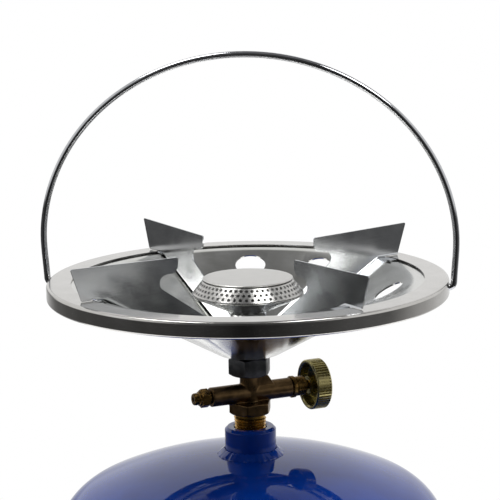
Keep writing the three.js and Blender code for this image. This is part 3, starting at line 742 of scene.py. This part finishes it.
chamber_seat = -0.5
BORES = ((4.2, chamber_seat, BARREL_ENDS[1] + 1), (4, BARREL_ENDS[0] - 1, -11), (1.5, -12, 0))
for radius, first, last in BORES:
    combine(forging, placed(cylinder(radius, first, last, 48), ALONG))
combine(forging, cylinder(2.5, BARREL_HEIGHT + 3.5, STEM_TOP + 1, 32))
inlet = cylinder(2, thread_end - 1, BARREL_HEIGHT + 1.5, 32)
combine(forging, placed(inlet, Matrix.Translation((-4 * MM, 0, 0))))
placed(forging, VALVE)
valve_body = hand_over(forging, "valve_body", "stand", "forged_brass", 40)

# %% [markdown]
# The gland nut closes the knob's end of the barrel and the relief plug the other. Both are turned on a
# lathe, with a bright lip, a dark groove and a few tool lines.

# %% Gland nut and relief plug
def on_barrel(piece):
    return placed(piece, VALVE @ ALONG)


flange = BARREL_ENDS[1] + GAP
gland_outline = [(2.9, 17.4), (3.9, 17.4), (3.9, flange), (6.4, flange), (6.4, flange + 2.0),
                 (5.8, flange + 2.3)]
for line in range(5):
    at = flange + 3.0 + line * 1.05
    gland_outline += [(5.7, at), (5.35, at + 0.28), (5.7, at + 0.56)]
gland_outline += [(5.7, 34.2), (5.4, 34.5), (4.6, 34.5), (4.6, 30), (2.9, 30)]
gland = turned("gland", rounded(gland_outline, 0.15, 2), 96)
hand_over(on_barrel(gland), "gland_nut", "stand", "turned_brass")

plug_end = BARREL_ENDS[0]
spigot_outline = [(1.4, plug_end - 2), (3.7, plug_end - 2), (3.7, -22), (1.4, -22)]
spigot = turned("spigot", rounded(spigot_outline, 0.15), 64)
plug_hexagon = eased(hexagon(9.8, plug_end - 6.3, plug_end - 1.5, 0, (0.6, 0.6)), 0.15)
combine(plug_hexagon, cylinder(1.4, -40, -20, 32))
nose = turned("nose", rounded([(1.4, plug_end - 10.6), (3.1, plug_end - 10.6), (3.4, plug_end - 10.2),
                               (3.6, plug_end - 8.6), (3.25, plug_end - 8.3), (3.25, plug_end - 7.7),
                               (4.1, plug_end - 7.3), (4.3, plug_end - 6.2), (1.4, plug_end - 6.2)], 0.2), 64)
relief_plug = combine(combine(plug_hexagon, spigot, "UNION"), nose, "UNION")
hand_over(on_barrel(relief_plug), "relief_plug", "stand", "turned_brass")

# %% [markdown]
# The knob is a deep ring with a web and a hub. It is spun with eight facets to each knurl. The vertices
# of every knurl's valley are selected by their angle and drawn in towards the axis, which leaves
# fifty-two straight ribs.

# %% The knob
KNOB = 14.7
KNOB_ENDS = (37, 46.5)
KNURLS = 52
KNURL_DEPTH = 0.9
inner, outer = KNOB_ENDS
knob_outline = [(2.9, inner), (5.2, inner), (5.2, outer - 3.4), (12.6, outer - 3.4), (12.6, inner + 0.9),
                (13.2, inner), (14.1, inner), (KNOB, inner + 0.7), (KNOB, inner + 1.1), (KNOB, outer - 1.2),
                (KNOB, outer - 0.8), (13.9, outer), (4.2, outer), (4.2, outer - 1.9), (1.4, outer - 1.9),
                (1.4, outer - 2.7), (2.9, outer - 2.7)]
knob = turned("knob", rounded(knob_outline, 0.25, 2), KNURLS * 8)
bpy.ops.object.mode_set(mode="EDIT")
bpy.ops.mesh.select_all(action="DESELECT")
bpy.ops.object.mode_set(mode="OBJECT")
picked = 0
for vertex in knob.data.vertices:
    x, y, z = (c / MM for c in vertex.co)
    phase = (math.degrees(math.atan2(y, x)) % (360 / KNURLS)) / (360 / KNURLS)
    in_valley = 0.3 < phase < 0.7
    vertex.select = math.hypot(x, y) > KNOB - 0.05 and in_valley and inner + 0.9 < z < outer - 0.9
    picked += vertex.select
bpy.ops.object.mode_set(mode="EDIT")
shrink = (KNOB - KNURL_DEPTH) / KNOB
bpy.ops.transform.resize(value=(shrink, shrink, 1), center_override=(0, 0, 0))
bpy.ops.object.mode_set(mode="OBJECT")
hand_over(on_barrel(knob), "valve_knob", "knob", "knurled_brass", 28)
print("knurl valleys:", picked, "vertices drawn in")

# %% [markdown]
# The knob is held on the spindle by one small screw with a slot. Both are turned parts, so both are spun,
# and a thin block cuts the slot.

# %% Spindle and knob screw
spindle_outline = [(0, 7), (1.7, 7), (1.9, 7.3), (1.9, 14.6), (3.7, 14.6), (3.7, 17), (2.6, 17),
                   (2.6, outer - 3), (1.4, outer - 3), (1.4, outer - 9), (0, outer - 9)]
spindle = turned("spindle", rounded(spindle_outline, 0.15, 2), 64)
hand_over(on_barrel(spindle), "valve_spindle", "knob", "bright_turned_brass")

screw_seat = outer - 1.9 + GAP
screw_outline = [(0, screw_seat - 5.5), (0.8, screw_seat - 5.5), (1.1, screw_seat - 5.2), (1.1, screw_seat),
                 (3.6, screw_seat), (3.6, screw_seat + 1.1), (2.9, screw_seat + 1.8), (0, screw_seat + 1.8)]
knob_screw = turned("knob_screw", rounded(screw_outline, 0.3, 3), 64)
screw_slot = block("slot", (-4, 4), (-0.5, 0.5), (screw_seat + 0.9, screw_seat + 3), 0.05)
hand_over(on_barrel(combine(knob_screw, screw_slot)), "knob_screw", "knob", "screw_steel")

# %% [markdown]
# ## The carrying bail
# The bail is one length of round wire. Its path is a curve with a round bevel: a short pivot through the
# skirt, a tight corner, a nearly straight leg and half an ellipse. Converting it gives the mesh.

# %% The bail
BAIL_HALF = 118.9
BAIL_SHOULDER = 20
BAIL_TOP = 127.6
CORNER = 3.4
leg_x = RIM_RADIUS + WIRE + 0.7


def ellipse(degrees):
    angle = math.radians(degrees)
    return Vector((BAIL_HALF * math.cos(angle), BAIL_SHOULDER + (BAIL_TOP - BAIL_SHOULDER) * math.sin(angle)))


half_path = [Vector((RIM_RADIUS - 3.6, PIVOT)), Vector((RIM_RADIUS - 1.2, PIVOT))]
half_path += [Vector(p) for p in arc(leg_x - CORNER, PIVOT + CORNER, CORNER, -90, 0, 10)]
low, high = half_path[-1], ellipse(4)
reach = (high - low).length
rise_low, rise_high = Vector((0.04, 1)) * reach, (ellipse(4.5) - ellipse(3.5)).normalized() * reach
for k in range(1, 8):
    t = k / 8
    half_path.append(low * (2 * t ** 3 - 3 * t ** 2 + 1) + rise_low * (t ** 3 - 2 * t ** 2 + t)
                     + high * (3 * t ** 2 - 2 * t ** 3) + rise_high * (t ** 3 - t ** 2))
half_path += [ellipse(4 + 2 * k) for k in range(44)]
path = half_path + [Vector((-p.x, p.y)) for p in half_path[-2::-1]]
start()
bpy.ops.curve.primitive_bezier_curve_add(location=(0, 0, 0))
wire = bpy.context.object
wire.data.splines.clear()
line = wire.data.splines.new("POLY")
line.points.add(len(path) - 1)
for point, at in zip(line.points, path):
    point.co = (at.x * MM, 0, (RIM + at.y) * MM, 1)
wire.data.dimensions = "3D"
wire.data.bevel_depth = WIRE * MM
wire.data.bevel_resolution = 6
wire.data.use_fill_caps = True
bpy.ops.object.convert(target="MESH")
bail = keep("bail")
bpy.ops.object.mode_set(mode="EDIT")
tidy_mesh()
hand_over(bail, "carrying_bail", "bail", "chromed_wire", 50)

# %% [markdown]
# ## Finishes
# Each finish starts from the real metal or paint and how its surface was made. Colours are written as
# sRGB hex values, which one function turns into the linear values that a shader needs. A second
# function adds a node with its settings and links.

# %% Colours and nodes
def linear(hex_colour):
    channels = [int(hex_colour[i:i + 2], 16) / 255 for i in (1, 3, 5)]
    return [c / 12.92 if c <= 0.04045 else ((c + 0.055) / 1.055) ** 2.4 for c in channels] + [1]


def add(tree, kind, links=(), **settings):
    node = tree.nodes.new(kind)
    for name, value in settings.items():
        setattr(node, name, value)
    for name, value in dict(links).items():
        if isinstance(value, bpy.types.NodeSocket):
            tree.links.new(value, node.inputs[name])
        else:
            node.inputs[name].default_value = value
    return node


def new_finish(name, **constants):
    """A material with its Principled shader, whose constant values are set on the shader itself."""
    material = bpy.data.materials.new(name)
    material.use_nodes = True
    shader = material.node_tree.nodes["Principled BSDF"]
    for socket, value in constants.items():
        shader.inputs[socket.replace("_", " ")].default_value = value
    return material, material.node_tree, shader


finishes = {}

# %% [markdown]
# Noise is the start of most finishes. Stretched one way it becomes the grain of rolled or drawn metal.
# A size in millimetres is turned into the texture's scale, because its coordinates are in metres.

# %% Patterns from real sizes
def per_metre(size_mm):
    return 1 / (size_mm * MM)


def grain(tree, vector, size_mm, detail=2.0):
    noise = add(tree, "ShaderNodeTexNoise", {"Vector": vector, "Scale": per_metre(size_mm), "Detail": detail})
    return noise.outputs["Fac"]


def spread(tree, value, low, high):
    """Turns the middle of a noise, where nearly all of it lies, into a range of values."""
    node = add(tree, "ShaderNodeMapRange", {"Value": value, "From Min": 0.32, "From Max": 0.68,
                                            "To Min": low, "To Max": high})
    return node.outputs["Result"]


def between(tree, value, colours):
    ramp = add(tree, "ShaderNodeValToRGB", {"Fac": value})
    elements = ramp.color_ramp.elements
    while len(elements) < len(colours):
        elements.new(0.5)
    for k, colour in enumerate(colours):
        elements[k].position = 0.3 + 0.4 * k / (len(colours) - 1)
        elements[k].color = linear(colour)
    return ramp.outputs["Color"]


def relief(tree, shader, height, depth_mm, strength=1.0, onto=None):
    links = {"Height": height, "Distance": depth_mm * MM, "Strength": strength}
    if onto is not None:
        links["Normal"] = onto
    bump = add(tree, "ShaderNodeBump", links)
    tree.links.new(bump.outputs["Normal"], shader.inputs["Normal"])
    return bump.outputs["Normal"]


def object_place(tree):
    return add(tree, "ShaderNodeTexCoord").outputs["Object"]


# %% [markdown]
# Stretching a pattern needs a Mapping node. For a piece that was spun or turned, the place is first
# taken apart into a distance from the axis, an angle and a height, so that lines run round the axis.

# %% Stretched and round patterns
def stretched(tree, vector, scale, degrees=0, tilt=0):
    turn = (0, math.radians(tilt), math.radians(degrees))
    return add(tree, "ShaderNodeMapping", {"Vector": vector, "Rotation": turn, "Scale": scale},
               vector_type="TEXTURE").outputs["Vector"]


def round_place(tree, vector, along=0.02):
    """(distance from Z, a little of the angle, height), for lines that run round."""
    split = add(tree, "ShaderNodeSeparateXYZ", {"Vector": vector})
    x, y, z = (split.outputs[k] for k in ("X", "Y", "Z"))
    flat = add(tree, "ShaderNodeCombineXYZ", {"X": x, "Y": y}).outputs["Vector"]
    radius = add(tree, "ShaderNodeVectorMath", {0: flat}, operation="LENGTH").outputs["Value"]
    unit = add(tree, "ShaderNodeVectorMath", {0: flat}, operation="NORMALIZE").outputs["Vector"]
    bit = add(tree, "ShaderNodeVectorMath", {0: unit, "Scale": along}, operation="SCALE").outputs["Vector"]
    rise = add(tree, "ShaderNodeCombineXYZ", {"X": radius, "Z": z}).outputs["Vector"]
    return add(tree, "ShaderNodeVectorMath", {0: rise, 1: bit}, operation="ADD").outputs["Vector"]


# %% [markdown]
# **Blue enamel on steel.** Sprayed and baked gloss paint. The eye sees a deep colour under a clear, nearly
# sharp reflection, and on a bottle that reflection ripples slightly, as orange peel does. The peel is
# about 3 mm across. The colour is a touch lighter where the paint ran thin.

# %% Enamel
material, tree, shader = new_finish("sprayed_blue_enamel", Metallic=0.0, Roughness=0.3, IOR=1.5,
                                    Specular_IOR_Level=0.0, Coat_Weight=1.0, Coat_Roughness=0.02, Coat_IOR=1.5)
place = object_place(tree)
thin = grain(tree, place, 26, 3)
tree.links.new(between(tree, thin, ("#04308c", "#063ea4")), shader.inputs["Base Color"])
peel = relief(tree, shader, grain(tree, place, 3.2, 1), 0.05, 0.12)
tree.links.new(peel, shader.inputs["Coat Normal"])
finishes["enamel"] = material

# %% [markdown]
# **Stainless sheet, spun, rolled and drawn.** Bright sheet still shows how it was worked. Spinning leaves
# faint rings, rolling leaves faint straight lines along the strip. The real lines are a few hundredths
# of a millimetre apart, too fine to show, so they are drawn about ten times coarser and very shallow.

# %% Steel sheet
SHEEN_RELIEF = 0.05


def worked_steel(name, colours, roughness, pattern, line_mm, depth, smudge_mm):
    material, tree, shader = new_finish(name, Metallic=1.0)
    place = object_place(tree)
    lines = grain(tree, pattern(tree, place), line_mm, 3)
    smudge = grain(tree, place, smudge_mm, 3)
    tree.links.new(between(tree, smudge, colours), shader.inputs["Base Color"])
    mixed = add(tree, "ShaderNodeMix", {"Factor": 0.5, 2: lines, 3: smudge}, data_type="FLOAT")
    tree.links.new(spread(tree, mixed.outputs[0], *roughness), shader.inputs["Roughness"])
    relief(tree, shader, lines, depth, SHEEN_RELIEF)
    return material


def round_lines(tree, place):
    return round_place(tree, place, 0.004)


def straight_lines(degrees):
    return lambda tree, place: stretched(tree, place, (60, 1, 1), degrees)


ALONG_A, ALONG_B = straight_lines(SUPPORT_AZIMUTH), straight_lines(SUPPORT_AZIMUTH - 90)
SHEETS = {
    "spun_steel": ("spun_stainless_steel", ("#c3c3be", "#cfcfcc"), (0.12, 0.22), round_lines, 0.5, 0.008, 14),
    "rim_steel": ("satin_stainless_steel", ("#bcbab6", "#c8c6c3"), (0.12, 0.2), round_lines, 0.35, 0.01, 14),
    "satin_cap": ("turned_stainless_steel", ("#c6c5c2", "#cfcecb"), (0.3, 0.42), round_lines, 0.3, 0.01, 8),
    "cup_steel": ("drawn_stainless_steel", ("#b9b9b8", "#c6c6c5"), (0.18, 0.3), round_lines, 0.3, 0.006, 8),
    "band_steel": ("pierced_stainless_steel", ("#b4b3b0", "#c4c3c0"), (0.16, 0.3), round_lines, 0.3, 0.006, 6),
    "rolled_steel_a": ("rolled_stainless_steel", ("#bfc1c4", "#c9cbcd"), (0.14, 0.24), ALONG_A,
                       0.45, 0.006, 10),
    "rolled_steel_b": ("rolled_stainless_steel_crossed", ("#bfc1c4", "#c9cbcd"), (0.14, 0.24), ALONG_B,
                       0.45, 0.006, 10),
    "drawn_tube": ("drawn_steel_tube", ("#7d7e80", "#939496"), (0.24, 0.38), round_lines, 0.4, 0.006, 6),
    "screw_steel": ("turned_screw_steel", ("#8d8e90", "#a3a4a6"), (0.25, 0.4), straight_lines(0),
                    0.3, 0.004, 3),
}
for finish, looks in SHEETS.items():
    finishes[finish] = worked_steel(*looks)
print(len(SHEETS), "steel finishes")

# %% [markdown]
# **Chromium-plated wire.** Drawn steel wire, polished and plated. It mirrors everything, and only faint
# draw lines along it and a little handling blur break the mirror.

# %% Chromed wire
material, tree, shader = new_finish("chromium_plated_wire", Metallic=1.0)
place = object_place(tree)
handled = grain(tree, place, 9, 4)
tree.links.new(between(tree, handled, ("#b4b5b8", "#c4c5c8")), shader.inputs["Base Color"])
tree.links.new(spread(tree, handled, 0.05, 0.14), shader.inputs["Roughness"])
relief(tree, shader, grain(tree, place, 1.4, 2), 0.006, 0.3)
finishes["chromed_wire"] = material

# %% [markdown]
# **Dulled zinc and black steel.** A zinc-plated nut goes grey and blotchy with heat and handling, in
# patches of a few millimetres. The tab washer is thin blackened steel, nearly matt.

# %% Zinc and black steel
def blotched_metal(name, colours, roughness, blotch_mm, pit_mm, pit_depth):
    material, tree, shader = new_finish(name, Metallic=1.0)
    place = object_place(tree)
    blotch = grain(tree, place, blotch_mm, 5)
    tree.links.new(between(tree, blotch, colours), shader.inputs["Base Color"])
    tree.links.new(spread(tree, blotch, *roughness), shader.inputs["Roughness"])
    relief(tree, shader, grain(tree, place, pit_mm, 2), pit_depth, 0.5)
    return material


finishes["dulled_zinc"] = blotched_metal("dulled_zinc_plated_steel", ("#424345", "#4d4e50", "#5e5f61"),
                                         (0.3, 0.5), 5, 0.7, 0.015)
finishes["black_steel"] = blotched_metal("blackened_steel", ("#1d1d1e", "#2b2b2c"),
                                         (0.35, 0.55), 4, 0.6, 0.01)

# %% [markdown]
# ** Brass, forged, turned and knurled.** The forging is browned by its oxide and slightly pebbled by the
# die, with grains about half a millimetre across. Turned faces are brighter, with tool lines. The knob's
# brass is greenish gold.

# %% Brass
finishes["forged_brass"] = blotched_metal("forged_brass_browned", ("#574630", "#6c563a", "#846a49"),
                                          (0.26, 0.42), 6, 0.55, 0.02)
finishes["turned_brass"] = blotched_metal("turned_brass_browned", ("#5c4624", "#775c33", "#917442"),
                                          (0.2, 0.34), 4, 0.4, 0.006)
finishes["thread_brass"] = blotched_metal("cut_brass_thread", ("#a27b34", "#bd9548"),
                                          (0.2, 0.32), 4, 0.3, 0.004)
finishes["bright_turned_brass"] = blotched_metal("bright_turned_brass", ("#b58c42", "#c7a056"),
                                                 (0.18, 0.28), 4, 0.3, 0.004)
finishes["knurled_brass"] = blotched_metal("knurled_brass", ("#a89d68", "#b3a873", "#beb380"),
                                           (0.2, 0.3), 12, 0.4, 0.003)

# %% [markdown]
# The hidden seals are moulded rubber and pressed fibre: matt, with a fine tooth. The pieces inside the
# valve keep their measured shapes, and only get these finishes.

# %% Rubber, fibre and spring wire
def matt_finish(name, colours, roughness, tooth_mm):
    material, tree, shader = new_finish(name, Metallic=0.0, Roughness=roughness)
    place = object_place(tree)
    tree.links.new(between(tree, grain(tree, place, tooth_mm * 3, 3), colours), shader.inputs["Base Color"])
    relief(tree, shader, grain(tree, place, tooth_mm, 2), 0.02, 0.5)
    return material


finishes["rubber"] = matt_finish("moulded_nitrile_rubber", ("#1a1b1d", "#242527"), 0.7, 0.4)
finishes["fibre"] = matt_finish("pressed_fibre", ("#a8a294", "#bdb8aa"), 0.85, 0.25)
HIDDEN = {"valve_plug": "bright_turned_brass", "valve_plug_pad": "rubber", "spindle_packing": "fibre",
          "relief_seal": "rubber", "relief_piston": "bright_turned_brass", "relief_spring": "screw_steel",
          "gas_jet": "bright_turned_brass", "outlet_gasket": "fibre"}

# %% [markdown]
# Every piece now gets the finish that it was handed over with. The forging gets two: faces below its
# hexagon foot belong to the cut thread, which is bright.

# %% Dressing the pieces
for name, finish in wears.items():
    mesh = bpy.data.objects[name].data
    mesh.materials.clear()
    mesh.materials.append(finishes[finish])
for node, finish in HIDDEN.items():
    mesh = frame["nodes"][node].data
    mesh.materials.clear()
    mesh.materials.append(finishes[finish])
valve_body.data.materials.append(finishes["thread_brass"])
threaded = 0
for polygon in valve_body.data.polygons:
    if polygon.center.z < (RIM + BLOCK[0] - 0.25) * MM:
        polygon.material_index = 1
        threaded += 1
print(len(wears), "pieces dressed,", len(HIDDEN), "hidden nodes,", threaded, "thread faces")

# %% [markdown]
# ## The studio
# Bright steel shows what stands round it. The stand is on a pale light table with a white sweep behind
# it. The room on the camera's side is dark, which gives the skirt and the upright faces their dark
# tones, and the ceiling is grey. The surround is a World whose brightness depends on direction.

# %% The camera
VIEW_TURN = 8
VIEW_RISE = 10.845
VIEW_ROLL = -1.0
VIEW_DISTANCE = 1.0969
AIM = Vector((1.579 * MM, 0, (RIM + 15.865) * MM))
turn = Matrix.Rotation(math.radians(VIEW_TURN), 3, "Z")
rise = math.radians(VIEW_RISE)
back = Vector((0, -math.cos(rise), math.sin(rise)))
right = Vector((1, 0, 0))
over = right.cross(-back)
roll = Matrix.Rotation(math.radians(VIEW_ROLL), 3, back)
sight = Matrix((turn @ roll @ right, turn @ roll @ over, turn @ back)).transposed()
camera_data = bpy.data.cameras.new("camera")
camera_data.sensor_width = 36
camera_data.lens = 138.27
camera = bpy.data.objects.new("camera", camera_data)
camera.matrix_world = Matrix.Translation(turn @ (AIM + back * VIEW_DISTANCE)) @ sight.to_4x4()
bpy.context.scene.collection.objects.link(camera)
bpy.context.scene.camera = camera

# %% [markdown]
# Two rings of brightness go round the stand. The one below the horizon is dark on the camera's side and
# at both flanks, like a studio floor beyond the table. The one above it is bright nearly all the way
# round, like white walls, with a dark gap only behind the camera. A soft step at the horizon joins them.

# %% The surround
world = bpy.data.worlds.new("studio_surround")
bpy.context.scene.world = world
world.use_nodes = True
sky = world.node_tree
sky.nodes.clear()
direction = add(sky, "ShaderNodeTexCoord").outputs["Generated"]
turned_sky = add(sky, "ShaderNodeMapping", {"Vector": direction, "Rotation": (0, 0, math.radians(VIEW_TURN))},
                 vector_type="TEXTURE").outputs["Vector"]
sky_split = add(sky, "ShaderNodeSeparateXYZ", {"Vector": turned_sky})
toward_camera = add(sky, "ShaderNodeMath", {0: sky_split.outputs["Y"], 1: -1.0},
                    operation="MULTIPLY").outputs[0]
bearing = add(sky, "ShaderNodeMath", {0: sky_split.outputs["X"], 1: toward_camera}, operation="ARCTAN2")
share = add(sky, "ShaderNodeMapRange", {"Value": bearing.outputs[0], "From Min": -math.pi,
                                        "From Max": math.pi})
BELOW = ((0, 0.95), (0.06, 0.5), (0.11, 0.16), (0.2, 0.08), (0.4, 0.05), (0.5, 0.01), (0.6, 0.06),
         (0.74, 0.13), (0.8, 0.42), (0.87, 0.66), (0.94, 0.8), (1, 0.95))
ABOVE = ((0, 0.95), (0.33, 0.9), (0.4, 0.12), (0.5, 0.03), (0.6, 0.12), (0.67, 0.9), (1, 0.95))


def ring(around):
    """A brightness for each share of a turn, with the camera's side in the middle."""
    ramp = add(sky, "ShaderNodeValToRGB", {"Fac": share.outputs[0]})
    stops = ramp.color_ramp.elements
    while len(stops) < len(around):
        stops.new(0.5)
    for stop, (position, value) in zip(stops, around):
        stop.position = position
        stop.color = (value, value, value, 1)
    return ramp.outputs["Color"]


HORIZON = (-0.02, 0.08)
over_horizon = add(sky, "ShaderNodeMapRange", {"Value": sky_split.outputs["Z"], "From Min": HORIZON[0],
                                               "From Max": HORIZON[1]}, interpolation_type="SMOOTHSTEP")
rings = add(sky, "ShaderNodeMix", {"Factor": over_horizon.outputs[0], 6: ring(BELOW), 7: ring(ABOVE)},
            data_type="RGBA")
CEILING_STARTS, CEILING_FULL, CEILING = 0.62, 0.85, 0.2
height_share = add(sky, "ShaderNodeMapRange", {"Value": sky_split.outputs["Z"], "From Min": CEILING_STARTS,
                                               "From Max": CEILING_FULL}, interpolation_type="SMOOTHSTEP")
seen = add(sky, "ShaderNodeMix", {"Factor": height_share.outputs[0], 6: rings.outputs[2],
                                  7: (CEILING, CEILING, CEILING * 1.02, 1)}, data_type="RGBA")
surround = add(sky, "ShaderNodeBackground", {"Color": seen.outputs[2], "Strength": 1.0})
backdrop = add(sky, "ShaderNodeBackground", {"Color": (1, 1, 1, 1), "Strength": 1.0})
path_kind = add(sky, "ShaderNodeLightPath").outputs["Is Camera Ray"]
shown = add(sky, "ShaderNodeMixShader", {0: path_kind, 1: surround.outputs[0], 2: backdrop.outputs[0]})
add(sky, "ShaderNodeOutputWorld", {"Surface": shown.outputs[0]})

# %% [markdown]
# The light table is a disc with a soft rolled edge. It glows a little, as a table lit from below does,
# so its surface stays pale in every view. Two soft boxes hang above the dish, one at the left and one
# at the right front.

# %% Table and soft boxes
TABLE = 450
table_outline = rounded([(0, -12), (TABLE - 4, -12), (TABLE, -8), (TABLE, -4), (TABLE - 4, 0), (0, 0)], 3, 3)
table = turned("light_table", table_outline, 128)
bpy.ops.object.shade_smooth_by_angle(angle=math.radians(30))
material, tree, shader = new_finish("opal_acrylic_sheet", Roughness=0.5, Emission_Strength=0.72)
opal = between(tree, grain(tree, object_place(tree), 60, 2), ("#f4f4f4", "#f9f9f9"))
tree.links.new(opal, shader.inputs["Base Color"])
shader.inputs["Emission Color"].default_value = (1, 1, 1, 1)
table.data.materials.append(material)

SOFT_BOX = 0.44
SOFT_BOX_POWER = 4.0
SOFT_BOX_HEIGHT = 0.85
SOFT_BOX_PLACES = ((-0.4, 0), (0.42, -0.42))
for across, along in SOFT_BOX_PLACES:
    light_data = bpy.data.lights.new("soft_box", "AREA")
    light_data.shape = "DISK"
    light_data.size = SOFT_BOX
    light_data.energy = SOFT_BOX_POWER
    light = bpy.data.objects.new("soft_box", light_data)
    place = turn @ Vector((across, along, 0)) + Vector((0, 0, RIM * MM + SOFT_BOX_HEIGHT))
    aim = place - Vector((0, 0, RIM * MM - 0.03))
    light.matrix_world = Matrix.Translation(place) @ aim.to_track_quat("Z", "Y").to_matrix().to_4x4()
    light.visible_camera = False
    bpy.context.scene.collection.objects.link(light)
bpy.context.scene.view_settings.view_transform = "Standard"
